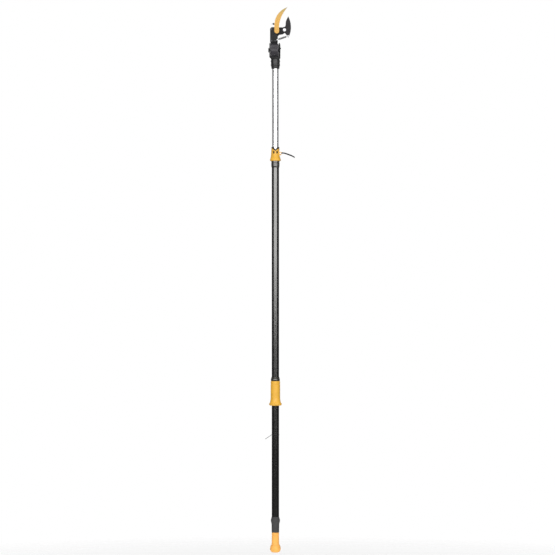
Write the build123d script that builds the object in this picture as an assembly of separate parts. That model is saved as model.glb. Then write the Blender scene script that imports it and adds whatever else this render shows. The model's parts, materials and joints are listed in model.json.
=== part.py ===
"""Telescoping pole pruner: a bypass cutting head on a two-stage pole, worked by a sliding grip.

Frame: millimetres, +Z up the pole, origin at the middle of the butt end that rests on the ground.
+X is the side the jaws open to, -Y is the front, where the hook is bolted on.
"""

import os
from math import cos, radians, sin

from build123d import *

# ---------------------------------------------------------------- driving dimensions
# Outer tube, inner tube and the flute pressed into the back of the inner tube.
TUBE_R = 16.0
TUBE_BORE_R = 14.7
TUBE_BOTTOM = 96.0
TUBE_TOP = 1716.0
INNER_R = 14.3
INNER_WALL = 1.2
INNER_BOTTOM = 140.0
INNER_TOP = 2164.0
FLUTE_HALF_WIDTH = 6.0
FLUTE_FLOOR_Y = 8.0

# Foot of the inner tube and its turning pulley.
FOOT_BOTTOM = 121.0
PULLEY_Y = 5.9
PULLEY_Z = 133.0
PULLEY_PITCH_R = 5.1

# Drive cord.
CORD_R = 1.2
CORD_X = 3.6
CORD_Y = PULLEY_Y + PULLEY_PITCH_R
KNOB_CORD_X = 0.2

# Sliding grip and its stroke.
GRIP_BOTTOM = 648.5
GRIP_TOP = 758.0
GRIP_BORE_R = 16.3
GRIP_R = 20.8
GRIP_FLANGE_R = 28.0
RING_TOP = 776.0
TONGUE_Z = 700.0
STROKE = 118.2

# Butt end.
KNOB_TOP = 88.0
KNOB_R = 16.0
KNOB_FLARE_R = 23.4
STEM_R = 7.0
STEM_TOP = 112.0
END_COLLAR_BOTTOM = 88.6
END_COLLAR_TOP = 157.0
STOP_RING_Z = 520.0
STOP_WIRE_R = 1.0

# Pole clamp.
COLLAR_BOTTOM = 1702.0
COLLAR_TOP = 1731.0
CLAMP_BOTTOM = 1731.3
CLAMP_TOP = 1785.0
CLAMP_FLARE_R = 24.0
CLAMP_NECK_R = 17.9
CLAMP_BORE_R = 16.9
NOTCH_Z = 1775.0
NOTCH_RISE = 0.8
NOTCH_LIP = 8.0
LINER_TOP = 1792.0
LEVER_X = 22.5
LEVER_Z = 1764.0
LEVER_HALF_WIDTH = 7.0

# Socket on top of the inner tube.
SOCKET_BOTTOM = 2138.5
SOCKET_TOP = 2182.0
SOCKET_R = 20.0

# Knuckle: the head tilts about a horizontal axis along X.
TILT_Z = 2221.0
BARREL_R = 31.0
BARREL_LEFT = -22.0
BARREL_SPLIT = -4.6
BARREL_RIGHT = 12.8
DISC_R = 33.0
CORD_ARM_X = 19.0
HEAD_CORD_Y = 2.5
SADDLE_R = 3.0

# Head: flat layers, front to back, are the hook, the blade, the frame and the drive lever.
HOOK_Y = (-21.0, -16.2)
BLADE_Y = (-16.0, -12.8)
FRAME_Y = (-12.4, -7.4)
LEVER_Y = (-1.75, 1.75)
BODY_LEFT = -23.4
BODY_RIGHT = 10.5
BODY_TOP = 2322.0
BODY_BOTTOM = 2256.0
REAR_BACK_Y = 11.0
COVER_FRONT_Y = -19.5
PIVOT_X = 40.3
PIVOT_Z = 2310.0
DRIVE_ARM = 42.0
DRIVE_PIN_R = 1.95
DRIVE_ARM_REST_DEG = 10.0
BLADE_SWING_DEG = 42.0
SPRING_BODY_END = (8.0, 2266.0)
SPRING_BLADE_END = (56.3, 2282.5)
SPRING_LEADS = (5.5, 8.0)
SPRING_Y = -17.6
SPRING_R = 4.3
SPRING_WIRE_R = 0.8
RIVETS = ((6.8, 2307.0), (7.3, 2331.5))
STUD_Z = 2336.0
STUD_R = 2.0
STUD_SHANK_R = 1.5
HOOK_BASE_Z = 2305.0
COVER_SCREWS = ((-17.5, 2314.0, -2.2), (-17.5, 2262.0, -2.2), (-1.5, 2262.0, -7.5))


# ---------------------------------------------------------------- plain shapes
def block(x, y, z):
    """Box between three pairs of limits."""
    size = (x[1] - x[0], y[1] - y[0], z[1] - z[0])
    return Pos((x[0] + x[1]) / 2, (y[0] + y[1]) / 2, (z[0] + z[1]) / 2) * Box(*size)


def rod_z(r, z, x=0.0, y=0.0):
    """Upright cylinder between two heights."""
    return Pos(x, y, (z[0] + z[1]) / 2) * Cylinder(r, z[1] - z[0])


def rod_x(r, x, y=0.0, z=0.0):
    """Cylinder along X between two stations."""
    return Pos((x[0] + x[1]) / 2, y, z) * Rot(0, 90, 0) * Cylinder(r, x[1] - x[0])


def rod_y(r, y, x=0.0, z=0.0):
    """Cylinder along Y between two stations."""
    return Pos(x, (y[0] + y[1]) / 2, z) * Rot(90, 0, 0) * Cylinder(r, y[1] - y[0])


def hex_y(across_flats, y, x, z):
    """Hexagonal prism along Y, for nuts and bolt heads."""
    prism = extrude(RegularPolygon(across_flats / 2, 6, major_radius=False), y[1] - y[0])
    return Pos(x, y[1], z) * Rot(90, 0, 0) * prism


def ring_z(outer_r, inner_r, z):
    """Upright tube between two heights."""
    return rod_z(outer_r, z) - rod_z(inner_r, (z[0] - 1, z[1] + 1))


def slab(outline, y):
    """Flat outline in X and Z, made solid between two Y stations."""
    return Pos(0, y[1], 0) * extrude(Plane.XZ * make_face(outline), y[1] - y[0])


def turned(outline):
    """Outline of radius and height, turned about the pole's axis."""
    return revolve(Plane.XZ * make_face(outline), Axis.Z)


def turned_x(outline):
    """Outline of X and radius, turned about the tilt axis."""
    spun = revolve(make_face(outline), Axis.X)
    return Pos(0, 0, TILT_Z) * spun


def cord_along(points, radii):
    """Round cord along straight runs joined by arcs."""
    path = FilletPolyline(*points, radius=radii)
    start = Plane(origin=path @ 0, z_dir=path % 0)
    return sweep(start * Circle(CORD_R), path=path)


def drive_pin_at(swing_deg):
    """Place of the drive lever's pin when the blade has swung that far."""
    angle = radians(180 - DRIVE_ARM_REST_DEG + swing_deg)
    return PIVOT_X + DRIVE_ARM * cos(angle), PIVOT_Z + DRIVE_ARM * sin(angle)


PIN_X, PIN_Z = drive_pin_at(0)
SHEAVE_Z = PIN_Z - 25.0
SHEAVE_PITCH_R = 4.0
DRIVE_FALL_X = SHEAVE_PITCH_R
BECKET_Z = 2248.0
FLUTE_CORD_TOP = 2120.0
CHEEK_CORD_TOP = 2210.0
HEAD_CORD_BOTTOM = TILT_Z + 8.0


# ---------------------------------------------------------------- poles
def outer_tube():
    tube = ring_z(TUBE_R, TUBE_BORE_R, (TUBE_BOTTOM, TUBE_TOP))
    slot = block((-2.5, 2.5), (9, 18), (TONGUE_Z - STROKE - 9, TONGUE_Z + 9))
    anchor_hole = rod_y(1.6, (9, 18), CORD_X, TUBE_TOP - 8)
    screw_hole = rod_y(1.55, (-18, -12), 0, 108)
    return tube - slot - anchor_hole - screw_hole


def fluted(radius, flute_half, floor_y, z):
    """Round bar with the flute cut down its back."""
    return rod_z(radius, z) - block((-flute_half, flute_half), (floor_y, 20), (z[0] - 1, z[1] + 1))


def inner_tube():
    span = (INNER_BOTTOM, INNER_TOP)
    hollow = fluted(
        INNER_R - INNER_WALL,
        FLUTE_HALF_WIDTH + INNER_WALL,
        FLUTE_FLOOR_Y - INNER_WALL,
        (INNER_BOTTOM - 2, INNER_TOP + 2),
    )
    return fluted(INNER_R, FLUTE_HALF_WIDTH, FLUTE_FLOOR_Y, span) - hollow


def tube_foot():
    """Plug in the bottom of the inner tube. It carries the turning pulley."""
    skirt = fluted(
        INNER_R - 0.1, FLUTE_HALF_WIDTH + 0.2, FLUTE_FLOOR_Y - 0.2, (FOOT_BOTTOM, INNER_BOTTOM - 0.1)
    )
    spigot = fluted(
        INNER_R - INNER_WALL - 0.05,
        FLUTE_HALF_WIDTH + INNER_WALL + 0.05,
        FLUTE_FLOOR_Y - INNER_WALL - 0.05,
        (INNER_BOTTOM - 0.1, INNER_BOTTOM + 22),
    )
    pulley_slot = block((CORD_X - 2.2, CORD_X + 2.2), (-3.5, 15), (FOOT_BOTTOM - 1, INNER_BOTTOM + 23))
    axle_hole = rod_x(1.52, (-16, 16), PULLEY_Y, PULLEY_Z)
    return skirt + spigot - pulley_slot - axle_hole


def foot_pulley():
    wheel = rod_x(PULLEY_PITCH_R + 0.9, (CORD_X - 1.9, CORD_X + 1.9), PULLEY_Y, PULLEY_Z)
    groove = Pos(CORD_X, PULLEY_Y, PULLEY_Z) * Rot(0, 90, 0) * Torus(PULLEY_PITCH_R, CORD_R + 0.3)
    return wheel - groove - rod_x(1.55, (0, 8), PULLEY_Y, PULLEY_Z)


def foot_pulley_axle():
    return rod_x(1.5, (-7, 10), PULLEY_Y, PULLEY_Z)


# ---------------------------------------------------------------- butt end
def end_knob():
    outline = (
        Polyline((0, 0), (13, 0))
        + Spline((13, 0), (20.5, 5.5), (KNOB_FLARE_R, 17.0), (19.0, 33.0), (KNOB_R, 46.0),
                 tangents=((1, 0.25), (-0.12, 1)))
        + Polyline((KNOB_R, 46.0), (KNOB_R, 73.0), (15.3, 74.2), (15.3, 76.4), (16.3, 77.6),
                   (16.3, 84.0), (14.4, KNOB_TOP), (0, KNOB_TOP), (0, 0))
    )
    return turned(outline) - rod_z(STEM_R, (40, KNOB_TOP + 1))


def knob_stem():
    """Stem pressed into the knob. The knob's cord is knotted into its top."""
    return rod_z(STEM_R, (40, STEM_TOP)) - rod_z(CORD_R, (96, STEM_TOP + 1), KNOB_CORD_X, 3.0)


def cord_keyway(z):
    """Slot beside the stem's hole that lets the knob's cord out with the stem."""
    half_width = CORD_R + 0.4
    return block((KNOB_CORD_X - half_width, KNOB_CORD_X + half_width), (0, CORD_Y + half_width), z)


def end_collar():
    outline = (
        Polyline((TUBE_R + 0.05, 96.0), (TUBE_R + 0.05, END_COLLAR_TOP), (16.7, END_COLLAR_TOP))
        + Spline((16.7, END_COLLAR_TOP), (18.0, 152.0), (20.2, 141.5), (17.9, 129.0), (16.9, 122.0),
                 tangents=((0.3, -1), (-0.1, -1)))
        + Polyline((16.9, 122.0), (16.5, END_COLLAR_BOTTOM), (STEM_R + 0.25, END_COLLAR_BOTTOM),
                   (STEM_R + 0.25, 95.9), (TUBE_R + 0.05, 95.9), (TUBE_R + 0.05, 96.0))
    )
    body = turned(outline)
    ribs = [
        block((14, 22), (-1.1, 1.1), (z, z + 3.2)).rotate(Axis.Z, turn)
        for z in (134, 139.5, 145)
        for turn in (0, 180)
    ]
    screw_hole = rod_y(1.55, (-20, -15), 0, 108)
    return body - ribs - screw_hole - cord_keyway((88, 96))


def end_plug():
    """Bush in the tube's mouth. The knob's stem and cord run through it."""
    flange = ring_z(TUBE_BORE_R - 0.05, STEM_R + 0.25, (96.1, 111))
    return flange - rod_y(1.55, (-20, -5), 0, 108) - cord_keyway((96, 112))


def end_collar_screws():
    return rod_y(1.5, (-17.4, -8.5), 0, 108)


def stop_ring():
    """Spring-wire ring round the tube that stops the grip; its tang is squeezed to shift it."""
    hoop_r = TUBE_R + STOP_WIRE_R + 0.02
    hoop = Pos(0, 0, STOP_RING_Z) * Torus(hoop_r, STOP_WIRE_R)
    points = (
        (-hoop_r, 0, STOP_RING_Z),
        (-hoop_r - 5.0, -3.0, STOP_RING_Z - 3.6),
        (-44.0, -4.0, STOP_RING_Z - 18.0),
    )
    path = FilletPolyline(*points, radius=4.0)
    tang = sweep(Plane(origin=path @ 0, z_dir=path % 0) * Circle(STOP_WIRE_R), path=path)
    tip = Pos(*points[2]) * Sphere(STOP_WIRE_R)
    return hoop + tang + tip


# ---------------------------------------------------------------- sliding grip
def slide_grip():
    outline = (
        Polyline((GRIP_BORE_R, GRIP_BOTTOM), (22.0, GRIP_BOTTOM + 0.8))
        + ThreePointArc((22.0, GRIP_BOTTOM + 0.8), (GRIP_FLANGE_R, 654.5), (25.5, 660.5))
        + Spline((25.5, 660.5), (22.5, 670.0), (GRIP_R, 684.0), tangents=((-1, 1.4), (0, 1)))
        + Polyline((GRIP_R, 684.0), (GRIP_R, 742.0), (19.8, 743.4), (19.8, 745.6), (GRIP_R, 747.0),
                   (GRIP_R, 753.0))
        + ThreePointArc((GRIP_R, 753.0), (20.0, 756.6), (18.4, GRIP_TOP))
        + Polyline((18.4, GRIP_TOP), (GRIP_BORE_R, GRIP_TOP), (GRIP_BORE_R, GRIP_BOTTOM))
    )
    pocket = block((-6.1, 6.1), (14, 18.4), (687.8, 712.2))
    screw_hole = rod_y(1.6, (15, 22), 0, TONGUE_Z) + rod_y(2.8, (18.9, 22), 0, TONGUE_Z)
    return turned(outline) - pocket - screw_hole


def grip_ring():
    outline = (
        Polyline((GRIP_BORE_R, GRIP_TOP + 0.1), (19.2, GRIP_TOP + 0.1))
        + ThreePointArc((19.2, GRIP_TOP + 0.1), (20.0, 762.5), (19.4, 767.5))
        + Polyline((19.4, 767.5), (17.2, RING_TOP), (GRIP_BORE_R, RING_TOP),
                   (GRIP_BORE_R, GRIP_TOP + 0.1))
    )
    return turned(outline)


def grip_slider():
    """Slider that joins the grip to the drive cord through the tube's rear slot."""
    pad = block((-6, 6), (16.25, 18.3), (688, 712))
    tongue = block((-2.2, 2.2), (9.0, 16.3), (TONGUE_Z - 7, TONGUE_Z + 7))
    ferrule = rod_z(1.9, (TONGUE_Z - 7, TONGUE_Z + 7), -CORD_X, CORD_Y)
    bore = rod_z(CORD_R, (TONGUE_Z - 8, TONGUE_Z + 8), -CORD_X, CORD_Y)
    knob_cord_bore = rod_z(CORD_R, (TONGUE_Z - 8, TONGUE_Z + 3), KNOB_CORD_X, CORD_Y)
    screw_bore = rod_y(1.3, (13, 19), 0, TONGUE_Z)
    return pad + tongue + ferrule - bore - knob_cord_bore - screw_bore


def grip_screw():
    return rod_y(2.6, (18.95, 19.6), 0, TONGUE_Z) + rod_y(1.25, (13.1, 19), 0, TONGUE_Z)


# ---------------------------------------------------------------- pole clamp
def clamp_collar():
    outline = Polyline(
        (TUBE_R + 0.05, COLLAR_BOTTOM), (16.6, COLLAR_BOTTOM), (18.1, COLLAR_BOTTOM + 5),
        (18.4, COLLAR_TOP - 9), (17.4, COLLAR_TOP - 8), (17.4, COLLAR_TOP - 6.5),
        (18.4, COLLAR_TOP - 5.5), (18.4, COLLAR_TOP), (INNER_R + 0.3, COLLAR_TOP),
        (INNER_R + 0.3, TUBE_TOP + 0.1), (TUBE_R + 0.05, TUBE_TOP + 0.1),
        (TUBE_R + 0.05, COLLAR_BOTTOM),
    )
    return turned(outline)


def clamp_body():
    """Flared clamp ring, notched in front, with two ears on the right that carry the lever."""
    outline = (
        Polyline((CLAMP_BORE_R, CLAMP_BOTTOM), (23.0, CLAMP_BOTTOM), (CLAMP_FLARE_R, CLAMP_BOTTOM + 2),
                 (CLAMP_FLARE_R, CLAMP_BOTTOM + 6))
        + Spline((CLAMP_FLARE_R, CLAMP_BOTTOM + 6), (20.6, 1749.0), (18.9, 1762.0),
                 (CLAMP_NECK_R, CLAMP_TOP), tangents=((-0.45, 1), (-0.04, 1)))
        + Polyline((CLAMP_NECK_R, CLAMP_TOP), (CLAMP_BORE_R, CLAMP_TOP), (CLAMP_BORE_R, CLAMP_BOTTOM))
    )
    ring = turned(outline)
    ears = block((14, 26.5), (-11.5, 11.5), (1755, 1772)) & rod_y(7.5, (-11.5, 11.5), LEVER_X - 2, LEVER_Z)
    ear_roots = block((14, 20.5), (-11.5, 11.5), (1756.5, 1771.5))
    bore_cut = rod_z(CLAMP_BORE_R, (1700, 1800))
    lever_gap = block((12, 40), (-LEVER_HALF_WIDTH - 0.4, LEVER_HALF_WIDTH + 0.4), (1751, 1778))
    pin_hole = rod_y(2.05, (-13, 13), LEVER_X, LEVER_Z)
    notch = slab(
        Polyline((-19, NOTCH_Z + 19 * NOTCH_RISE), (19, NOTCH_Z + 19 * NOTCH_RISE), (0, NOTCH_Z),
                 (-19, NOTCH_Z + 19 * NOTCH_RISE)), (-30, 0)
    )
    windows = [
        Pos(x, 0, 1769.3) * Rot(90, 0, 0) * extrude(Ellipse(3.6, 6.4), 30) for x in (-7.3, 7.3)
    ]
    return ring + ears + ear_roots - bore_cut - lever_gap - pin_hole - notch - windows


def notch_band(side):
    """Half of the V of the clamp's front notch, as wide as the liner's lip."""
    foot, arm = NOTCH_Z + 0.3, 18.0
    tip = foot + arm * NOTCH_RISE
    outline = Polyline((0, foot), (side * arm, tip), (side * arm, tip + NOTCH_LIP),
                       (0, foot + NOTCH_LIP), (0, foot))
    return slab(outline, (-30, 0))


def clamp_liner():
    """Split sleeve that closes on the inner tube. Its lip lines the V notch and ends in two horns."""
    inner = INNER_R + 0.3
    sleeve = ring_z(CLAMP_BORE_R - 0.1, inner, (COLLAR_TOP + 0.3, LINER_TOP))
    crotch = NOTCH_Z + 0.3 + NOTCH_LIP
    arm_top = crotch + 19 * NOTCH_RISE
    front_cut = slab(Polyline((-19, arm_top), (19, arm_top), (0, crotch), (-19, arm_top)), (-30, 0))
    back_cut = block((-20, 20), (-1, 20), (CLAMP_TOP + 2.0, LINER_TOP + 1))
    lip = ring_z(CLAMP_NECK_R + 0.2, inner, (NOTCH_Z, LINER_TOP)) & (notch_band(-1) + notch_band(1))
    shoe_gap = block((10, 22), (-6.4, 6.4), (1752, 1776))
    split = block((-1.2, 1.2), (10, 22), (1725, 1800))
    return sleeve - front_cut - back_cut + lip - shoe_gap - split


def brake_shoe():
    """Pad that the lever's cam drives against the inner tube."""
    pad = block((10, 17.3), (-6.0, 6.0), (1753, 1775)) - rod_z(INNER_R + 0.5, (1750, 1780))
    return pad


def cam_lever():
    """Thin curved finger lever with an eccentric cam round the pin."""
    cam = rod_y(4.6, (-LEVER_HALF_WIDTH, LEVER_HALF_WIDTH), LEVER_X, LEVER_Z)
    top = Spline((LEVER_X, LEVER_Z + 4.4), (33.0, LEVER_Z + 5.1), (50.0, LEVER_Z + 1.4),
                 (68.0, LEVER_Z - 5.2), (86.4, LEVER_Z - 15.4), tangents=((1, 0.25), (1, -0.7)))
    under = Spline((84.2, LEVER_Z - 19.6), (66.6, LEVER_Z - 10.4), (49.2, LEVER_Z - 4.2),
                   (34.0, LEVER_Z - 0.2), (LEVER_X, LEVER_Z - 2.2), tangents=((-1, 0.75), (-1, -0.3)))
    ends = Line((86.4, LEVER_Z - 15.4), (84.2, LEVER_Z - 19.6)) + Line(
        (LEVER_X, LEVER_Z - 2.2), (LEVER_X, LEVER_Z + 4.4)
    )
    arm = slab(top + under + ends, (-LEVER_HALF_WIDTH, LEVER_HALF_WIDTH))
    waist = [
        Pos(52, side * 19.0, LEVER_Z) * Cylinder(14.2, 60) for side in (-1, 1)
    ]
    return cam + arm - waist - rod_y(2.05, (-9, 9), LEVER_X, LEVER_Z)


def lever_pin():
    shank = rod_y(2.0, (-11.4, 11.4), LEVER_X, LEVER_Z)
    heads = [rod_y(3.4, span, LEVER_X, LEVER_Z) for span in ((-12.9, -11.6), (11.6, 12.9))]
    links = [rod_y(2.0, span, LEVER_X, LEVER_Z) for span in ((-12, -11), (11, 12))]
    return shank + heads + links


# ---------------------------------------------------------------- socket and yoke
def head_socket():
    outline = Polyline(
        (INNER_R + 0.05, SOCKET_BOTTOM), (16.4, SOCKET_BOTTOM), (17.6, SOCKET_BOTTOM + 1.5),
        (18.6, 2150.0), (20.3, 2153.0), (20.3, 2157.0), (19.4, 2160.0), (19.6, SOCKET_TOP - 2),
        (18.6, SOCKET_TOP), (15.6, SOCKET_TOP), (15.6, INNER_TOP + 0.2), (INNER_R + 0.05, INNER_TOP + 0.2),
        (INNER_R + 0.05, SOCKET_BOTTOM),
    )
    panel = rod_y(9.0, (-30, -19.0), 0, 2168)
    grooves = [
        block((-1.0, 1.0), (17.9, 23), (2162, 2178)).rotate(Axis.Z, turn)
        for turn in range(30, 331, 30)
        if abs(turn - 180) > 35
    ]
    screw_holes = [rod_x(1.55, span, 0, 2172) for span in ((-22, -13), (13, 22))]
    cord_notch = block((13, 22), (-4.6, 4.6), (2177, SOCKET_TOP + 1))
    return turned(outline) - panel - grooves - screw_holes - cord_notch


def socket_screws():
    return [
        rod_x(1.5, (side_in, side_out), 0, 2172) + rod_x(2.7, head, 0, 2172)
        for side_in, side_out, head in ((-19.7, -12.5, (-20.9, -19.65)), (12.5, 19.7, (19.65, 20.9)))
    ]


def knuckle_yoke():
    """Fork on the socket: a left cheek, a bridge and a domed hollow right cheek."""
    spigot = rod_z(15.5, (INNER_TOP + 0.4, SOCKET_TOP + 2))
    bridge = block((-26.6, 22.0), (-14, 14), (SOCKET_TOP + 0.3, 2203)) & turned(
        Polyline((0, SOCKET_TOP), (19.0, SOCKET_TOP), (31.0, SOCKET_TOP + 14), (31.0, 2204), (0, 2204),
                 (0, SOCKET_TOP))
    )
    left_cheek = turned_x(Polyline((-26.6, 0), (-26.6, 28), (-25.0, DISC_R), (-22.4, DISC_R),
                                   (-22.4, 0), (-26.6, 0)))
    right_cheek = turned_x(
        Polyline((13.1, 0), (22.0, 0), (22.0, 20))
        + Spline((22.0, 20), (20.9, 27), (18.2, DISC_R), tangents=((0, 1), (-0.5, 1)))
        + Polyline((18.2, DISC_R), (16.4, DISC_R), (13.6, 25), (13.1, 20), (13.1, 0))
    )
    trunnion = rod_x(7.0, (8.6, 13.6), 0, TILT_Z)
    barrel_space = rod_x(BARREL_R + 0.6, (BARREL_LEFT - 0.4, 13.1), 0, TILT_Z)
    core = spigot + (bridge - barrel_space) + left_cheek + right_cheek + trunnion
    cord_shaft = block((CORD_ARM_X - 4.4, CORD_ARM_X + 1.8), (-4.6, 4.6), (2183, TILT_Z + 1.8))
    cord_hall = block((-9, CORD_ARM_X + 1.8), (-4.6, 12.6), (2160, 2188)) & rod_z(14.0, (2160, 2181))
    cross_way = block((-6, CORD_ARM_X + 1.8), (-4.6, 4.6), (2176, 2187))
    bore = rod_x(4.6, (8, CORD_ARM_X), 0, TILT_Z)
    stud_bore = rod_x(3.98, (-28, -22), 0, TILT_Z)
    cover_seat = rod_x(11.0, (20.6, 24), 0, TILT_Z)
    cover_thread = rod_x(1.6, (13, 24), 0, TILT_Z + 8)
    screw_holes = [rod_x(1.55, span, 0, 2172) for span in ((-22, -12.3), (12.3, 22))]
    saddle = rod_y(SADDLE_R, (-4.6, 4.6), CORD_ARM_X - SADDLE_R - CORD_R, TILT_Z - SADDLE_R - CORD_R)
    saddle &= block((CORD_ARM_X - SADDLE_R - CORD_R - 0.2, 22), (-5, 5), (2200, TILT_Z))
    return (
        core - cord_shaft - cord_hall - cross_way - bore - stud_bore - cover_seat - cover_thread
        - screw_holes + saddle
    )


def cheek_cover():
    disc = rod_x(10.9, (20.7, 22.3), 0, TILT_Z)
    return disc - rod_x(1.7, (20, 24), 0, TILT_Z + 8)


def cheek_cover_screw():
    return rod_x(1.55, (14, 22.4), 0, TILT_Z + 8) + rod_x(3.0, (22.4, 24.6), 0, TILT_Z + 8)


def tilt_knob():
    """Hand knob that pinches the left cheek on the barrel."""
    disc = turned_x(Polyline((-31.4, 0), (-31.4, 7.5), (-30.2, 10.2), (-27.6, 10.2), (-27.0, 9.4),
                             (-27.0, 0), (-31.4, 0)))
    lobes = [
        rod_x(1.5, (-32, -26.9), 10.9 * cos(radians(turn)), TILT_Z + 10.9 * sin(radians(turn)))
        for turn in range(15, 375, 30)
    ]
    stud = rod_x(3.9, (-27.1, -16.0), 0, TILT_Z)
    dimple = rod_x(4.0, (-32, -30.8), 0, TILT_Z)
    return disc - lobes - dimple + stud


# ---------------------------------------------------------------- head: knuckle barrel
def barrel_half(side):
    """One half of the hollow barrel; side -1 is the left half, 1 the right."""
    near, far = (BARREL_SPLIT, BARREL_LEFT) if side < 0 else (BARREL_SPLIT, BARREL_RIGHT)
    gap = 0.05 * side
    low, high = sorted((near + gap, far))
    drum = rod_x(BARREL_R, (low, high), 0, TILT_Z)
    wall = 3.0
    inner_low = low + wall if side < 0 else low - 1
    inner_high = high + 1 if side < 0 else high - wall
    drum -= rod_x(BARREL_R - wall, (inner_low, inner_high), 0, TILT_Z)
    rim_groove = turned_x(Polyline((far - side * 3.2, 40), (far - side * 3.2, BARREL_R - 0.8),
                                   (far - side * 2.0, BARREL_R - 0.8), (far - side * 2.0, 40),
                                   (far - side * 3.2, 40)))
    drum -= rim_groove
    drum -= block((-40, 40), (-13.0, 12.0), (TILT_Z + 20, TILT_Z + 40))
    if side < 0:
        return drum - rod_x(3.98, (-23, -18), 0, TILT_Z)
    return drum - rod_x(7.05, (9, 13), 0, TILT_Z)


def barrel_cap():
    """Floor that closes the barrel's top. It carries the becket's lugs and the cord's saddle."""
    floor_plate = block((BARREL_LEFT + 0.3, BARREL_RIGHT - 3.3), (-12.9, 11.9), (2243.5, 2247.0))
    cord_slots = block((-6.2, 6.2), (-4.6, 4.6), (2240, 2250))
    lugs = [block(span, (-5.4, 5.4), (2243.6, BECKET_Z + 5)) for span in ((-1.5, -0.1), (6.4, 8.0))]
    becket_hole = rod_x(1.32, (-4, 9), 0, BECKET_Z + 1.2)
    turn_x, turn_z = SADDLE_R + CORD_R - DRIVE_FALL_X, TILT_Z + SADDLE_R + CORD_R
    saddle = rod_y(SADDLE_R, (-4.9, 4.9), turn_x, turn_z) & block((-6, turn_x + 0.1), (-5, 5), (TILT_Z, 2240))
    carrier = block((turn_x, 6.5), (-4.9, 4.9), (turn_z, turn_z + 2.8))
    legs = [block((turn_x, 6.5), span, (turn_z, 2243.6)) for span in ((-4.9, -4.1), (4.1, 4.9))]
    return floor_plate - cord_slots + lugs - becket_hole + saddle + carrier + legs


def detent_ring():
    """Toothed ring in the left half that holds the tilt setting."""
    ring = turned_x(Polyline((-18.9, 14), (-18.9, 22), (-17.2, 22), (-17.2, 14), (-18.9, 14)))
    teeth = [
        rod_x(0.9, (-17.3, -16.2), 18 * cos(radians(turn)), TILT_Z + 18 * sin(radians(turn)))
        for turn in range(0, 360, 20)
    ]
    return ring + teeth


# ---------------------------------------------------------------- head: frame, covers, hook
def head_frame():
    """Die-cast plate from the knuckle out to the blade pivot, with the hook's seat."""
    outline = (
        Polyline((BODY_LEFT + 1.9, BODY_BOTTOM - 9.0), (BODY_LEFT + 1.9, BODY_BOTTOM),
                 (BODY_LEFT, BODY_BOTTOM + 1.5), (BODY_LEFT, 2311.0))
        + ThreePointArc((BODY_LEFT, 2311.0), (-20.6, 2319.2), (-12.4, BODY_TOP))
        + Polyline((-12.4, BODY_TOP), (33.0, 2321.2))
        + ThreePointArc((33.0, 2321.2), (49.4, 2318.0), (44.0, 2300.2))
        + Spline((44.0, 2300.2), (32.0, 2290.6), (20.0, 2288.6), (BODY_RIGHT, 2280.0),
                 tangents=((-1, -0.8), (-0.3, -1)))
        + Polyline((BODY_RIGHT, 2280.0), (BODY_RIGHT, BODY_BOTTOM), (9.0, BODY_BOTTOM - 9.0),
                   (BODY_LEFT + 1.9, BODY_BOTTOM - 9.0))
    )
    plate = slab(outline, FRAME_Y)
    seat_outline = SlotCenterToCenter(26.0, 13.0)
    seat_centre = ((RIVETS[0][0] + RIVETS[1][0]) / 2, (RIVETS[0][1] + RIVETS[1][1]) / 2)
    seat = Pos(seat_centre[0], FRAME_Y[0] + 0.1, seat_centre[1]) * Rot(90, 0, 0) * extrude(
        Rot(0, 0, 89) * seat_outline, FRAME_Y[0] + 0.1 - HOOK_Y[1]
    )
    holes = [rod_y(2.55, (-25, 0), x, z) for x, z in RIVETS]
    bushing_hole = rod_y(6.6, (-20, 0), PIVOT_X, PIVOT_Z)
    screw_holes = [rod_y(1.55, (-20, 0), x, z) for x, z, _ in COVER_SCREWS]
    rib = slab(Polyline((12, 2293.5), (12, 2297.5), (25, 2301.3), (25, 2297.6), (12, 2293.5)),
               (FRAME_Y[0] - 1.2, FRAME_Y[0] + 0.1))
    rib_low = slab(Polyline((14, 2313), (14, 2316), (25, 2315.7), (25, 2313.3), (14, 2313)),
                   (FRAME_Y[0] - 1.2, FRAME_Y[0] + 0.1))
    spring_hole = rod_y(1.5, (-20, 0), *SPRING_BODY_END)
    return plate + seat + rib + rib_low - holes - bushing_hole - screw_holes - spring_hole


def housing_front():
    """Rounded front cover beside and below the hook."""
    face_z = (BODY_BOTTOM, BODY_TOP)
    body = block((BODY_LEFT, BODY_RIGHT), (COVER_FRONT_Y, FRAME_Y[0] - 0.1), face_z)
    left_edge = body.edges().filter_by(Axis.Z).group_by(Axis.Y)[0]
    body = fillet(left_edge, 5.5)
    body = fillet(body.edges().group_by(Axis.Y)[0], 1.6)
    hook_room = block((-6.2, 40), (-40, 0), (HOOK_BASE_Z - 5.0, 2400))
    hook_root = rod_y(12.8, (-40, 0), 6.6, HOOK_BASE_Z)
    spring_room = rod_y(5.2, (-40, 0), *SPRING_BODY_END)
    spring_way = block((8, 30), (-40, 0), (SPRING_BODY_END[1] - 5.2, SPRING_BODY_END[1] + 5.2))
    corner = block((-40, -12.4), (-40, 0), (2311, 2340)) - rod_y(11.2, (-40, 0), -12.2, 2310.8)
    recess = block((-17.0, -9.5), (-40, COVER_FRONT_Y + 0.8), (2272, 2302))
    body = body - hook_room - hook_root - spring_room - spring_way - corner - recess
    seats = [rod_y(3.1, (-40, COVER_FRONT_Y + 3.0), x, z) for x, z, _ in COVER_SCREWS]
    holes = [rod_y(1.6, (-40, 0), x, z) for x, z, _ in COVER_SCREWS]
    return body - seats - holes


def cover_screws():
    screws = []
    for x, z, tip_y in COVER_SCREWS:
        head = rod_y(2.9, (COVER_FRONT_Y + 1.0, COVER_FRONT_Y + 2.95), x, z)
        drive = hex_y(2.4, (COVER_FRONT_Y, COVER_FRONT_Y + 2.2), x, z)
        shank = rod_y(1.5, (COVER_FRONT_Y + 2.9, tip_y), x, z)
        screws.append(head + shank - drive)
    return screws


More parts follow.
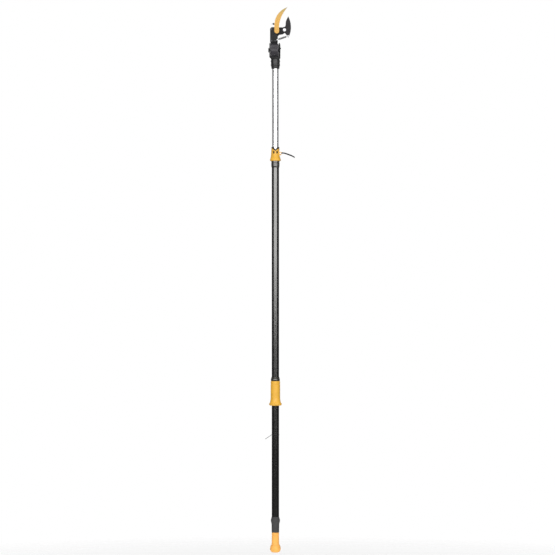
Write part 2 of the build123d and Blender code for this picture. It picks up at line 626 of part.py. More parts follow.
def housing_rear():
    """Hollow rear cover over the tackle and the drive lever."""
    wall = 2.4
    shell = block((BODY_LEFT, BODY_RIGHT), (FRAME_Y[1] + 0.1, REAR_BACK_Y), (BODY_BOTTOM, BODY_TOP))
    shell = fillet(shell.edges().filter_by(Axis.Z).group_by(Axis.Y)[-1], 6.0)
    shell = fillet(shell.edges().group_by(Axis.Y)[-1], 1.6)
    room = block((BODY_LEFT + wall, BODY_RIGHT - wall), (-9, REAR_BACK_Y - wall),
                 (BODY_BOTTOM - 1, BODY_TOP - wall))
    corner = block((-40, -12.4), (-40, 40), (2311, 2340)) - rod_y(11.2, (-40, 40), -12.2, 2310.8)
    lever_slot = block((-9, 20), (LEVER_Y[0] - 0.8, LEVER_Y[1] + 0.8), (2276, 2330))
    pin_slot = block((-10.8, BODY_RIGHT - wall), (-6.2, 6.2), (2300, 2330))
    posts = [rod_y(3.2, (FRAME_Y[1] + 0.2, REAR_BACK_Y - 1), x, z) for x, z, _ in COVER_SCREWS[:2]]
    shell = shell - room - lever_slot - pin_slot
    shell = shell + [post & block((BODY_LEFT, BODY_RIGHT), (-9, REAR_BACK_Y), (BODY_BOTTOM, BODY_TOP))
                     for post in posts]
    shell = shell - corner
    return shell - [rod_y(1.55, (-9, -2.0), x, z) for x, z, _ in COVER_SCREWS[:2]]


def hook():
    """Fixed hook jaw: a curved plate that reaches over the branch."""
    outer = Spline((-4.4, HOOK_BASE_Z), (-4.7, 2330.0), (-1.6, 2352.0), (8.8, 2376.0), (26.0, 2395.0),
                   (53.2, 2410.0), tangents=((0, 1), (1, 0.42)))
    inner = Spline((53.2, 2410.0), (43.5, 2397.0), (32.0, 2379.5), (21.5, 2354.0), (16.4, 2330.0),
                   (16.6, HOOK_BASE_Z), tangents=((-0.7, -1), (0, -1)))
    base = ThreePointArc((16.6, HOOK_BASE_Z), (6.1, HOOK_BASE_Z - 11.0), (-4.4, HOOK_BASE_Z))
    plate = slab(outer + inner + base, HOOK_Y)
    countersinks = [rod_y(4.6, (HOOK_Y[0] - 1, HOOK_Y[0] + 1.0), x, z) for x, z in RIVETS]
    holes = [rod_y(2.55, (-25, -10), x, z) for x, z in RIVETS]
    stud_hole = rod_x(STUD_SHANK_R + 0.05, (-8, 3), (HOOK_Y[0] + HOOK_Y[1]) / 2, STUD_Z)
    return plate - countersinks - holes - stud_hole


def hook_rivets():
    return [
        rod_y(4.5, (HOOK_Y[0] + 0.05, HOOK_Y[0] + 0.95), x, z)
        + rod_y(2.5, (HOOK_Y[0] + 0.9, FRAME_Y[1] - 0.1), x, z)
        for x, z in RIVETS
    ]


def saw_stud():
    """Threaded stud on the hook's back for an accessory such as a saw blade."""
    y = (HOOK_Y[0] + HOOK_Y[1]) / 2
    return rod_x(STUD_R, (-15.5, -10.2), y, STUD_Z) + rod_x(STUD_SHANK_R, (-10.2, 1.5), y, STUD_Z)


def saw_stud_nut():
    y = (HOOK_Y[0] + HOOK_Y[1]) / 2
    cap = rod_x(4.4, (-10.2, -5.2), y, STUD_Z)
    cap = fillet(cap.edges().group_by(Axis.X)[0], 1.2)
    flutes = [
        rod_x(0.8, (-11, -5), y + 4.7 * cos(radians(turn)), STUD_Z + 4.7 * sin(radians(turn)))
        for turn in range(0, 360, 45)
    ]
    return cap - flutes - rod_x(STUD_SHANK_R + 0.02, (-11, -5), y, STUD_Z)


def pivot_bushing():
    sleeve = rod_y(6.55, (FRAME_Y[0] - 0.1, FRAME_Y[1] + 0.1), PIVOT_X, PIVOT_Z)
    return sleeve - rod_y(5.05, (-20, 0), PIVOT_X, PIVOT_Z)


def becket_pin():
    """Fixed pin that the cord turns round between the two sheaves."""
    return rod_x(1.3, (-1.4, 7.9), 0, BECKET_Z + 1.2)


# ---------------------------------------------------------------- head: blade and tackle
def blade():
    """Crescent cutting blade with its hub and spring tail."""
    edge = Spline((57.0, 2369.5), (50.4, 2357.5), (45.3, 2340.0), (43.6, 2327.0), (35.5, 2321.0),
                  tangents=((-0.55, -1), (-1, -0.15)))
    hub = ThreePointArc((35.5, 2321.0), (28.6, 2310.5), (35.0, 2299.9))
    inner_tail = Spline((35.0, 2299.9), (45.5, 2291.5), (56.8, 2275.4), tangents=((1, -0.35), (0.45, -1)))
    back = Spline((56.8, 2275.4), (65.2, 2295.0), (68.7, 2317.0), (67.4, 2338.0), (57.0, 2369.5),
                  tangents=((0.55, 1), (-0.45, 1)))
    plate = slab(edge + hub + inner_tail + back, BLADE_Y)
    square_hole = block((PIVOT_X - 3.6, PIVOT_X + 3.6), (-20, 0), (PIVOT_Z - 3.6, PIVOT_Z + 3.6))
    spring_hole = rod_y(1.65, (-20, 0), *SPRING_BLADE_END)
    ground = rod_y(0.9, (-20, BLADE_Y[0] + 0.7), 60.5, 2306)
    return plate - square_hole - spring_hole - ground


def pivot_shaft():
    """Turns with the blade in the frame's bushing; both ends are squared."""
    x, z = PIVOT_X, PIVOT_Z
    journal = rod_y(5.0, (BLADE_Y[1] + 0.05, LEVER_Y[0] - 0.1), x, z)
    front = block((x - 3.5, x + 3.5), (BLADE_Y[0] - 0.1, BLADE_Y[1] + 0.1), (z - 3.5, z + 3.5))
    rear = block((x - 3.5, x + 3.5), (LEVER_Y[0] - 0.2, LEVER_Y[1] + 0.1), (z - 3.5, z + 3.5))
    tips = rod_y(3.0, (-21.4, BLADE_Y[0]), x, z) + rod_y(3.0, (LEVER_Y[1], 6.6), x, z)
    return journal + front + rear + tips


def pivot_nut_front():
    x, z = PIVOT_X, PIVOT_Z
    washer = rod_y(6.6, (-17.5, BLADE_Y[0] - 0.15), x, z)
    nut = hex_y(10.0, (-21.0, -17.5), x, z) & rod_y(5.5, (-21.0, -17.4), x, z)
    return washer + nut - rod_y(3.02, (-22, -10), x, z)


def pivot_nut_rear():
    x, z = PIVOT_X, PIVOT_Z
    return hex_y(10.0, (LEVER_Y[1] + 0.15, 6.2), x, z) - rod_y(3.02, (0, 10), x, z)


def drive_lever():
    """Arm behind the frame that the tackle pulls down."""
    x, z = PIVOT_X, PIVOT_Z
    hub = rod_y(8.0, LEVER_Y, x, z)
    end = rod_y(4.6, LEVER_Y, PIN_X, PIN_Z)
    web = slab(
        Polyline((x, z - 7.0), (PIN_X + 1, PIN_Z - 4.2), (PIN_X + 1, PIN_Z + 4.2), (x, z + 7.0),
                 (x, z - 7.0)), LEVER_Y
    )
    square_hole = block((x - 3.6, x + 3.6), (-5, 5), (z - 3.6, z + 3.6))
    return hub + end + web - square_hole - rod_y(2.0, (-5, 5), PIN_X, PIN_Z)


def drive_pin():
    return rod_y(DRIVE_PIN_R, (-4.4, 4.4), PIN_X, PIN_Z)


def tail_post():
    """Rivet on the blade's tail that the return spring hooks on."""
    x, z = SPRING_BLADE_END
    return rod_y(1.6, (-19.6, BLADE_Y[1] - 0.1), x, z) + rod_y(2.8, (-20.4, -19.5), x, z)


def spring_post():
    """Pin in the head frame for the other end of the spring."""
    x, z = SPRING_BODY_END
    return rod_y(1.45, (-18.6, FRAME_Y[1] - 0.2), x, z) + rod_y(2.6, (-19.4, -18.5), x, z)


def tackle_block():
    """Travelling block: two straps with an open-ended cross slot for the drive pin, and the axle bores."""
    slot_half = DRIVE_PIN_R + 0.65
    straps = []
    for side in (-1, 1):
        span = sorted((side * 2.6, side * 4.3))
        strap = block((PIN_X - 9.0, PIN_X + 8.0), span, (PIN_Z - 8.0, PIN_Z + 4.4))
        strap -= block((PIN_X - 4.0, PIN_X + 9.0), (-9, 9), (PIN_Z - slot_half, PIN_Z + slot_half))
        neck_span = sorted((side * 4.6, side * 5.8))
        neck = block((-3.0, 3.0), neck_span, (SHEAVE_Z - 4.0, PIN_Z - 4.5))
        bridge = block((-3.0, 3.0), sorted((side * 2.6, side * 5.8)), (PIN_Z - 8.0, PIN_Z - 4.5))
        straps.append(strap + neck + bridge - rod_y(1.55, (-9, 9), 0, SHEAVE_Z))
    tie = block((-3.0, 3.0), (-2.7, 2.7), (PIN_Z - 11.5, PIN_Z - 8.0)) + block(
        (-3.0, 3.0), (-5.8, 5.8), (PIN_Z - 11.5, PIN_Z - 7.9)
    )
    return straps[0] + straps[1] + tie


def tackle_axle():
    return rod_y(1.5, (-5.8, 5.8), 0, SHEAVE_Z)


def tackle_sheave(side):
    """Grooved sheave of the travelling block; side -1 takes the hauled fall, 1 the dead one."""
    y = side * HEAD_CORD_Y
    wheel = rod_y(SHEAVE_PITCH_R + 0.9, (y - 1.9, y + 1.9), 0, SHEAVE_Z)
    groove = Pos(0, y, SHEAVE_Z) * Rot(90, 0, 0) * Torus(SHEAVE_PITCH_R, CORD_R + 0.25)
    return wheel - groove - rod_y(1.55, (-9, 9), 0, SHEAVE_Z)


# ---------------------------------------------------------------- cord and spring
def drive_cord_rise():
    """Straight run in the flute, from the slider to the socket."""
    return rod_z(CORD_R, (TONGUE_Z - 7, FLUTE_CORD_TOP), -CORD_X, CORD_Y)


def drive_cord_cross():
    """From the top of the flute across the socket to the right cheek."""
    points = (
        (-CORD_X, CORD_Y, FLUTE_CORD_TOP),
        (-CORD_X, CORD_Y, 2162),
        (0, 2.0, 2179),
        (CORD_ARM_X, -HEAD_CORD_Y, 2184),
        (CORD_ARM_X, -HEAD_CORD_Y, CHEEK_CORD_TOP),
    )
    return cord_along(points, (6.0, 5.0, 5.0))


def drive_cord_return():
    """From the right cheek down inside the inner tube and round the foot pulley."""
    inner_y = PULLEY_Y - PULLEY_PITCH_R
    bottom = PULLEY_Z - PULLEY_PITCH_R
    points = (
        (CORD_ARM_X, HEAD_CORD_Y, CHEEK_CORD_TOP),
        (CORD_ARM_X, HEAD_CORD_Y, 2186.5),
        (CORD_X, inner_y, 2168),
        (CORD_X, inner_y, bottom),
        (CORD_X, CORD_Y, bottom),
        (CORD_X, CORD_Y, PULLEY_Z + 3),
    )
    arc = PULLEY_PITCH_R - 0.02
    return cord_along(points, (5.0, 5.0, arc, arc))


def drive_cord_anchor():
    """From the foot pulley up the flute to the knot at the top of the outer tube."""
    cord = rod_z(CORD_R, (PULLEY_Z + 3, TUBE_TOP - 4), CORD_X, CORD_Y)
    knot = Pos(CORD_X, CORD_Y, TUBE_TOP - 6) * Sphere(2.3)
    return cord + knot


def tilt_cords():
    """The cord's two runs through the tilt axis, from the right cheek into the head."""
    arc = SADDLE_R + CORD_R
    runs = []
    for y in (-HEAD_CORD_Y, HEAD_CORD_Y):
        points = (
            (CORD_ARM_X, y, CHEEK_CORD_TOP),
            (CORD_ARM_X, y, TILT_Z),
            (-DRIVE_FALL_X, y, TILT_Z),
            (-DRIVE_FALL_X, y, HEAD_CORD_BOTTOM),
        )
        runs.append(cord_along(points, (arc, arc)))
    return runs


def knob_cord():
    """From the slider down the flute to the knob's stem."""
    points = (
        (KNOB_CORD_X, CORD_Y, TONGUE_Z + 2),
        (KNOB_CORD_X, CORD_Y, 119.5),
        (KNOB_CORD_X, 3.0, 114.5),
        (KNOB_CORD_X, 3.0, 97),
    )
    return cord_along(points, (2.5, 2.0))


def tackle_cord():
    """The bight in the head: over one sheave, round the becket pin and over the other."""
    r = SHEAVE_PITCH_R
    bottom = HEAD_CORD_BOTTOM
    top = SHEAVE_Z + r
    turn = BECKET_Z - 1.4
    points = (
        (-r, -HEAD_CORD_Y, bottom),
        (-r, -HEAD_CORD_Y, top),
        (r, -HEAD_CORD_Y, top),
        (r, -HEAD_CORD_Y, turn),
        (r, HEAD_CORD_Y, turn),
        (r, HEAD_CORD_Y, top),
        (-r, HEAD_CORD_Y, top),
        (-r, HEAD_CORD_Y, bottom),
    )
    return cord_along(points, (r - 0.02, r - 0.02, 2.48, 2.48, r - 0.02, r - 0.02))


def return_spring():
    """Envelope of the coil spring that opens the jaws, with its two end wires."""
    (x0, z0), (x1, z1) = SPRING_BODY_END, SPRING_BLADE_END
    start, end = Vector(x0, SPRING_Y, z0), Vector(x1, SPRING_Y, z1)
    along = (end - start).normalized()
    body_lead, blade_lead = SPRING_LEADS
    length = (end - start).length - body_lead - blade_lead
    coil = Plane(origin=start + along * body_lead, z_dir=along) * Pos(0, 0, length / 2) * Cylinder(
        SPRING_R, length
    )
    tails = []
    for eye, way, lead in ((start, along, body_lead), (end, along * -1, blade_lead)):
        tail_length = lead - 2.1
        tails.append(
            Plane(origin=eye + way * 2.4, z_dir=way) * Pos(0, 0, tail_length / 2) * Cylinder(
                SPRING_WIRE_R, tail_length
            )
        )
    eyes = [
        Pos(x0, SPRING_Y, z0) * Rot(90, 0, 0) * Torus(2.5, SPRING_WIRE_R),
        Pos(x1, SPRING_Y, z1) * Rot(90, 0, 0) * Torus(2.65, SPRING_WIRE_R),
    ]
    return coil + tails + eyes


# ---------------------------------------------------------------- all nodes
NODES = {
    "outer_tube": outer_tube,
    "inner_tube": inner_tube,
    "tube_foot": tube_foot,
    "foot_pulley": foot_pulley,
    "foot_pulley_axle": foot_pulley_axle,
    "end_knob": end_knob,
    "knob_stem": knob_stem,
    "end_collar": end_collar,
    "end_plug": end_plug,
    "end_collar_screw": end_collar_screws,
    "stop_ring": stop_ring,
    "slide_grip": slide_grip,
    "grip_ring": grip_ring,
    "grip_slider": grip_slider,
    "grip_screw": grip_screw,
    "clamp_collar": clamp_collar,
    "clamp_body": clamp_body,
    "clamp_liner": clamp_liner,
    "brake_shoe": brake_shoe,
    "cam_lever": cam_lever,
    "lever_pin": lever_pin,
    "head_socket": head_socket,
    "socket_screws": socket_screws,
    "knuckle_yoke": knuckle_yoke,
    "cheek_cover": cheek_cover,
    "cheek_cover_screw": cheek_cover_screw,
    "tilt_knob": tilt_knob,
    "barrel_left": lambda: barrel_half(-1),
    "barrel_right": lambda: barrel_half(1),
    "barrel_cap": barrel_cap,
    "detent_ring": detent_ring,
    "head_frame": head_frame,
    "housing_front": housing_front,
    "housing_rear": housing_rear,
    "cover_screws": cover_screws,
    "hook": hook,
    "hook_rivets": hook_rivets,
    "saw_stud": saw_stud,
    "saw_stud_nut": saw_stud_nut,
    "pivot_bushing": pivot_bushing,
    "becket_pin": becket_pin,
    "blade": blade,
    "pivot_shaft": pivot_shaft,
    "pivot_nut_front": pivot_nut_front,
    "pivot_nut_rear": pivot_nut_rear,
    "drive_lever": drive_lever,
    "drive_pin": drive_pin,
    "tail_post": tail_post,
    "spring_post": spring_post,
    "tackle_block": tackle_block,
    "tackle_axle": tackle_axle,
    "haul_sheave": lambda: tackle_sheave(-1),
    "dead_sheave": lambda: tackle_sheave(1),
    "drive_cord_rise": drive_cord_rise,
    "drive_cord_mast": lambda: [drive_cord_cross(), drive_cord_return()],
    "drive_cord_anchor": drive_cord_anchor,
    "tilt_cords": tilt_cords,
    "tackle_cord": tackle_cord,
    "knob_cord": knob_cord,
    "return_spring": return_spring,
}

os.makedirs("parts", exist_ok=True)
for node, make in NODES.items():
    made = make()
    if isinstance(made, list):
        made = Compound(children=[Part() + piece for piece in made])
    export_step(made, f"parts/{node}.step")
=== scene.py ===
import json
import math

import bmesh
import bpy
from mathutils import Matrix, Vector


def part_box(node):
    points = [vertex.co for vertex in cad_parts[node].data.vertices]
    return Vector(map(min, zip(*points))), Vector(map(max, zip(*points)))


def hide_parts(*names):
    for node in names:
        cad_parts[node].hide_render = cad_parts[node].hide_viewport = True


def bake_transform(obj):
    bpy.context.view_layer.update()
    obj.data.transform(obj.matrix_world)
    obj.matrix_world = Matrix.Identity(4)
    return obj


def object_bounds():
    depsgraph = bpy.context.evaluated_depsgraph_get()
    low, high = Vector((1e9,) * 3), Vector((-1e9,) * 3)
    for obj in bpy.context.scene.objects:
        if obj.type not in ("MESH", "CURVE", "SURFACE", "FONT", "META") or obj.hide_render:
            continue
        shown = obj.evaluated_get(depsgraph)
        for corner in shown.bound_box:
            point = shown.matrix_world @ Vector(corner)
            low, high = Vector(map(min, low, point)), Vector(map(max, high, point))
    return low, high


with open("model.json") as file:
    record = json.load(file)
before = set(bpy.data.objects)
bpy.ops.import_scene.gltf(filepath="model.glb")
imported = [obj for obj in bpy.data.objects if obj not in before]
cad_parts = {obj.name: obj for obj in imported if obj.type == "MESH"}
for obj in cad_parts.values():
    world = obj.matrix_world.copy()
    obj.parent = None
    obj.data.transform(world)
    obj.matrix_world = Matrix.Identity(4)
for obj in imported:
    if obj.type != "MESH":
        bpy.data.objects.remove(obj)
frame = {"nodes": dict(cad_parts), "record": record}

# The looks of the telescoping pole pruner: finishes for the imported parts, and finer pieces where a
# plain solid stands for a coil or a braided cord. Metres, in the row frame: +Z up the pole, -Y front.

CAD_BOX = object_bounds()
NODES = frame["nodes"]


# ---------------------------------------------------------------- shader helpers
class Finish:
    """One procedural material: a Principled shader and the nodes that feed it."""

    def __init__(self, name, colour, roughness, metallic=0.0, specular=0.5, coat=0.0, coat_roughness=0.1,
                 sheen=0.0, edge_tint=1.0):
        self.material = bpy.data.materials.new(name)
        self.material.use_nodes = True
        self.tree = self.material.node_tree
        self.shader = self.tree.nodes["Principled BSDF"]
        self.set("Base Color", (*colour, 1.0))
        self.set("Roughness", roughness)
        self.set("Metallic", metallic)
        self.set("Specular IOR Level", specular)
        self.set("Coat Weight", coat)
        self.set("Coat Roughness", coat_roughness)
        self.set("Sheen Weight", sheen)
        self.set("Specular Tint", (edge_tint, edge_tint, edge_tint, 1.0))
        self.place = self.add("ShaderNodeTexCoord").outputs["Object"]

    def set(self, socket, value):
        self.shader.inputs[socket].default_value = value

    def add(self, kind, **settings):
        node = self.tree.nodes.new(kind)
        for key, value in settings.items():
            setattr(node, key, value)
        return node

    def link(self, source, target):
        self.tree.links.new(source, target)

    def scaled(self, stretch):
        """Object coordinates, stretched along an axis by a smaller scale there."""
        mapping = self.add("ShaderNodeMapping")
        mapping.inputs["Scale"].default_value = stretch
        self.link(self.place, mapping.inputs["Vector"])
        return mapping.outputs["Vector"]

    def noise(self, scale, detail=3.0, roughness=0.55, stretch=(1, 1, 1)):
        node = self.add("ShaderNodeTexNoise")
        node.inputs["Scale"].default_value = scale
        node.inputs["Detail"].default_value = detail
        node.inputs["Roughness"].default_value = roughness
        self.link(self.scaled(stretch), node.inputs["Vector"])
        return node.outputs["Fac"]

    def ramp(self, source, stops):
        """Colour ramp: stops are (position, colour)."""
        node = self.add("ShaderNodeValToRGB")
        elements = node.color_ramp.elements
        while len(elements) < len(stops):
            elements.new(0.5)
        for element, (position, colour) in zip(elements, stops):
            element.position = position
            element.color = (*colour, 1.0)
        self.link(source, node.inputs["Fac"])
        return node.outputs["Color"]

    def range(self, source, low, high, to_low, to_high):
        node = self.add("ShaderNodeMapRange")
        for socket, value in zip(("From Min", "From Max", "To Min", "To Max"), (low, high, to_low, to_high)):
            node.inputs[socket].default_value = value
        self.link(source, node.inputs["Value"])
        return node.outputs["Result"]

    def math(self, operation, first, second):
        node = self.add("ShaderNodeMath", operation=operation)
        for socket, value in zip(node.inputs, (first, second)):
            if isinstance(value, (int, float)):
                socket.default_value = value
            else:
                self.link(value, socket)
        return node.outputs["Value"]

    def colour(self, source):
        self.link(source, self.shader.inputs["Base Color"])

    def rough(self, source):
        self.link(source, self.shader.inputs["Roughness"])

    def bump(self, heights):
        """Stack of bumps: (height, distance in metres, strength)."""
        previous = None
        for source, distance, strength in heights:
            node = self.add("ShaderNodeBump")
            node.inputs["Distance"].default_value = distance
            node.inputs["Strength"].default_value = strength
            self.link(source, node.inputs["Height"])
            if previous is not None:
                self.link(previous, node.inputs["Normal"])
            previous = node.outputs["Normal"]
        self.link(previous, self.shader.inputs["Normal"])


def tones(colour, spread):
    """A darker and a lighter tone of a colour."""
    return tuple(c * (1 - spread) for c in colour), tuple(min(1.0, c * (1 + spread)) for c in colour)


def moulded_plastic(name, colour, roughness, specular=0.5, spread=0.06, coat=0.0, coat_roughness=0.25,
                    grain=2600.0, grain_depth=0.00003):
    """Injection-moulded plastic: fine spark-eroded grain, faint flow clouds and handling polish."""
    made = Finish(name, colour, roughness, specular=specular, coat=coat, coat_roughness=coat_roughness)
    dark, light = tones(colour, spread)
    made.colour(made.ramp(made.noise(38.0, 5.0), [(0.30, dark), (0.70, light)]))
    made.rough(made.range(made.noise(90.0, 4.0), 0.3, 0.7, roughness - 0.06, roughness + 0.08))
    made.bump([(made.noise(grain, 2.0), grain_depth, 0.35), (made.noise(60.0, 2.0), 0.00012, 0.12)])
    return made.material


def drawn_tube(name, colour, roughness, spread, edge_tint):
    """Anodised drawn tube: soft clouds in the anodising, faint die lines and rubbing marks in the gloss."""
    made = Finish(name, colour, roughness, metallic=1.0, edge_tint=edge_tint)
    dark, light = tones(colour, spread)
    made.colour(made.ramp(made.noise(14.0, 5.0, stretch=(1, 1, 0.25)), [(0.35, dark), (0.65, light)]))
    lines = made.noise(900.0, 2.0, stretch=(1, 1, 0.002))
    scuffs = made.noise(60.0, 5.0, stretch=(1, 1, 0.1))
    gloss = made.math("ADD", made.math("MULTIPLY", lines, 0.3), made.math("MULTIPLY", scuffs, 0.7))
    made.rough(made.range(gloss, 0.35, 0.7, roughness, roughness + 0.05))
    return made.material


def powder_coat(name, colour, roughness, specular, spread, peel=1400.0):
    """Powder coat on cast metal: orange peel and clouds of gloss."""
    made = Finish(name, colour, roughness, specular=specular)
    dark, light = tones(colour, spread)
    made.colour(made.ramp(made.noise(70.0, 5.0), [(0.3, dark), (0.7, light)]))
    made.rough(made.range(made.noise(180.0, 4.0), 0.3, 0.7, roughness - 0.05, roughness + 0.1))
    made.bump([(made.noise(peel, 2.0), 0.00003, 0.3), (made.noise(140.0, 2.0), 0.00008, 0.12)])
    return made.material


def hook_enamel(node):
    """Amber enamel on the hook, turning olive and then grey-brown towards the top, where the point is."""
    low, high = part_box(node)
    amber, dull, olive, steel = (0.70, 0.37, 0.045), (0.62, 0.36, 0.06), (0.46, 0.33, 0.09), (0.44, 0.36, 0.22)
    made = Finish("hook_enamel", amber, 0.38, specular=0.3, coat=0.15, coat_roughness=0.3)
    height = made.add("ShaderNodeSeparateXYZ")
    made.link(made.place, height.inputs["Vector"])
    cloud = made.noise(120.0, 5.0)
    z = made.math("ADD", height.outputs["Z"], made.math("MULTIPLY", made.math("SUBTRACT", cloud, 0.5), 0.02))
    up = made.range(z, low.z + 0.055, high.z, 0.0, 1.0)
    made.colour(made.ramp(up, [(0.0, amber), (0.50, dull), (0.86, olive), (0.97, steel)]))
    made.rough(made.range(made.noise(300.0, 4.0, stretch=(1, 1, 0.3)), 0.35, 0.7, 0.28, 0.46))
    made.bump([(made.noise(1300.0, 2.0), 0.00003, 0.3), (made.noise(160.0, 3.0), 0.0001, 0.15)])
    return made.material


def ground_steel(name, colour, roughness, stretch=(1, 1, 0.05), spread=0.1):
    """Ground or plated steel: fine directional lines and soft tarnish clouds."""
    made = Finish(name, colour, roughness, metallic=1.0)
    dark, light = tones(colour, spread)
    made.colour(made.ramp(made.noise(110.0, 5.0), [(0.3, dark), (0.7, light)]))
    made.rough(made.range(made.noise(1500.0, 3.0, stretch=stretch), 0.3, 0.7, roughness - 0.07, roughness + 0.12))
    made.bump([(made.noise(1800.0, 3.0, stretch=stretch), 0.00002, 0.35)])
    return made.material


def blade_coat(name):
    """Dark low-friction coating on the blade, with grinding lines that run across it."""
    made = Finish(name, (0.016, 0.015, 0.017), 0.45, specular=0.2)
    dark, light = (0.011, 0.010, 0.012), (0.026, 0.024, 0.028)
    made.colour(made.ramp(made.noise(85.0, 5.0), [(0.28, dark), (0.72, light)]))
    lines = made.noise(1700.0, 3.0, stretch=(0.06, 1, 1))
    made.rough(made.range(lines, 0.3, 0.7, 0.4, 0.56))
    made.bump([(lines, 0.00003, 0.35), (made.noise(100.0, 2.0), 0.00008, 0.1)])
    return made.material


def braided_cord(name, colour):
    """Braided polyester: crossing strands as a fine chequer of bumps, with painted shade in the gaps between
    strands.
    """
    made = Finish(name, colour, 0.75, sheen=0.35)
    waves = []
    for turn in (0.9, -0.9):
        mapping = made.add("ShaderNodeMapping")
        mapping.inputs["Rotation"].default_value = (turn, turn * 0.6, 0)
        made.link(made.place, mapping.inputs["Vector"])
        wave = made.add("ShaderNodeTexWave", wave_type="BANDS", bands_direction="Z")
        wave.inputs["Scale"].default_value = 420.0
        made.link(mapping.outputs["Vector"], wave.inputs["Vector"])
        waves.append(wave.outputs["Fac"])
    braid = made.math("MAXIMUM", waves[0], waves[1])
    # Colour follows the strand height: painted shade in the gaps between strands, and a painted highlight on
    # their crests.
    dark, light = tones(colour, 0.35)
    made.colour(made.ramp(braid, [(0.25, dark), (0.8, light)]))
    made.bump([(braid, 0.0001, 0.7)])
    return made.material


AMBER = (0.84, 0.455, 0.05)

FINISHES = {
    "black_tube": drawn_tube("black_anodising", (0.096, 0.096, 0.094), 0.14, spread=0.06, edge_tint=0.15),
    "silver_tube": drawn_tube("silver_anodising", (0.74, 0.74, 0.75), 0.3, spread=0.02, edge_tint=0.9),
    "amber_plastic": moulded_plastic("amber_plastic", AMBER, 0.42, specular=0.35, coat=0.1),
    "black_plastic": moulded_plastic("black_plastic", (0.011, 0.011, 0.0115), 0.36, specular=0.26, spread=0.2),
    "charcoal_plastic": moulded_plastic("charcoal_plastic", (0.013, 0.0128, 0.0135), 0.42, specular=0.15,
                                        spread=0.2),
    "barrel_plastic": moulded_plastic("barrel_plastic", (0.034, 0.031, 0.037), 0.42, specular=0.42, spread=0.12),
    "frame_paint": powder_coat("frame_powder_coat", (0.011, 0.011, 0.012), 0.5, specular=0.16, spread=0.2),
    "amber_paint": hook_enamel("hook"),
    "blade_coating": blade_coat("blade_coating"),
    "bright_steel": ground_steel("bright_steel", (0.34, 0.34, 0.35), 0.3),
    "dark_steel": ground_steel("dark_steel", (0.06, 0.06, 0.064), 0.38),
    "bronze": ground_steel("sintered_bronze", (0.60, 0.42, 0.22), 0.4),
    "cord": braided_cord("braided_cord", (0.42, 0.41, 0.38)),
}
COLLAR_RUBBER = moulded_plastic("collar_rubber", (0.052, 0.052, 0.053), 0.55, specular=0.18, spread=0.12)
SOCKET_PLASTIC = moulded_plastic("socket_plastic", (0.017, 0.0168, 0.0175), 0.36, specular=0.42, spread=0.2)
# Knob amber: the plastic's own slightly more orange tone, made lighter than the grip's amber as painted light to
# make up for the dimmer light at the foot of the pole.
KNOB_AMBER_WITH_PAINTED_LIGHT = moulded_plastic("knob_amber_with_painted_light", (0.93, 0.455, 0.10), 0.45, specular=0.3)
GLOSSY_SLEEVE = moulded_plastic("glossy_black_sleeve", (0.020, 0.019, 0.014), 0.3, coat=1.0, coat_roughness=0.16,
                                spread=0.15)

SLOT_OF = {part["node"]: part["material_slot"] for part in frame["record"]["subparts"]}


def give_finish(piece, material):
    piece.data.materials.clear()
    piece.data.materials.append(material)


for name, node in NODES.items():
    give_finish(node, FINISHES[SLOT_OF[name]])
for name, material in (("clamp_collar", GLOSSY_SLEEVE), ("grip_ring", GLOSSY_SLEEVE),
                       ("head_socket", SOCKET_PLASTIC), ("end_knob", KNOB_AMBER_WITH_PAINTED_LIGHT),
                       ("end_collar", COLLAR_RUBBER)):
    give_finish(NODES[name], material)


# ---------------------------------------------------------------- finer pieces
def middle_of(node):
    low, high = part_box(node)
    return (low + high) / 2


def swept_tube(name, path, radius_at, sides):
    """Closed tube along a path; radius_at gives the radius at a step along it and a turn round it."""
    made = bmesh.new()
    rings = []
    side = None
    for step, point in enumerate(path):
        ahead = path[min(step + 1, len(path) - 1)]
        behind = path[max(step - 1, 0)]
        along = (ahead - behind).normalized()
        if side is None:
            side = along.orthogonal().normalized()
        side = (side - along * side.dot(along)).normalized()
        up = along.cross(side)
        ring = []
        for corner in range(sides):
            turn = math.tau * corner / sides
            radius = radius_at(step, turn)
            ring.append(made.verts.new(point + (side * math.cos(turn) + up * math.sin(turn)) * radius))
        rings.append(ring)
    for lower, upper in zip(rings, rings[1:]):
        for corner in range(sides):
            following = (corner + 1) % sides
            made.faces.new((lower[corner], lower[following], upper[following], upper[corner]))
    made.faces.new(list(reversed(rings[0])))
    made.faces.new(rings[-1])
    for face in made.faces:
        face.smooth = len(face.verts) == 4
    mesh = bpy.data.meshes.new(name)
    made.to_mesh(mesh)
    made.free()
    piece = bpy.data.objects.new(name, mesh)
    bpy.context.scene.collection.objects.link(piece)
    return piece


def coil_spring():
    """Tension spring with a hook eye on each post, coiled between the posts at rest; on the tool it stretches as
    the blade closes.
    """
    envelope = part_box("return_spring")
    depth = (envelope[0].y + envelope[1].y) / 2
    coil_radius, wire, turns, steps_per_turn = 0.0034, 0.0008, 17, 20
    post, tail = middle_of("spring_post"), middle_of("tail_post")
    start = Vector((post.x, depth, post.z))
    end = Vector((tail.x, depth, tail.z))
    along = (end - start).normalized()
    across = along.cross(Vector((0, -1, 0))).normalized()
    out = Vector((0, -1, 0))
    eye_radius, body_lead, tail_lead = 0.00255, 0.0058, 0.0083

    def eye(centre, way):
        """Three quarters of a loop round a post, open towards the coil."""
        loop = []
        for step in range(19):
            turn = math.radians(-40 + 280 * step / 18)
            loop.append(centre - way * (eye_radius * math.sin(turn)) + across * (eye_radius * math.cos(turn)))
        return loop

    coil_from, coil_to = start + along * body_lead, end - along * tail_lead
    coil = []
    count = turns * steps_per_turn
    for step in range(count + 1):
        share = step / count
        turn = math.tau * turns * share
        ends = min(1.0, min(step, count - step) / (0.6 * steps_per_turn))
        radius = coil_radius * ends
        ring = (across * math.cos(turn) + out * math.sin(turn)) * radius
        coil.append(coil_from.lerp(coil_to, share) + ring)
    path = eye(start, along) + coil + list(reversed(eye(end, -along)))
    piece = swept_tube("return_spring_coil", path, lambda step, turn: wire, 8)
    give_finish(piece, FINISHES["bright_steel"])
    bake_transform(piece)
    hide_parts("return_spring")


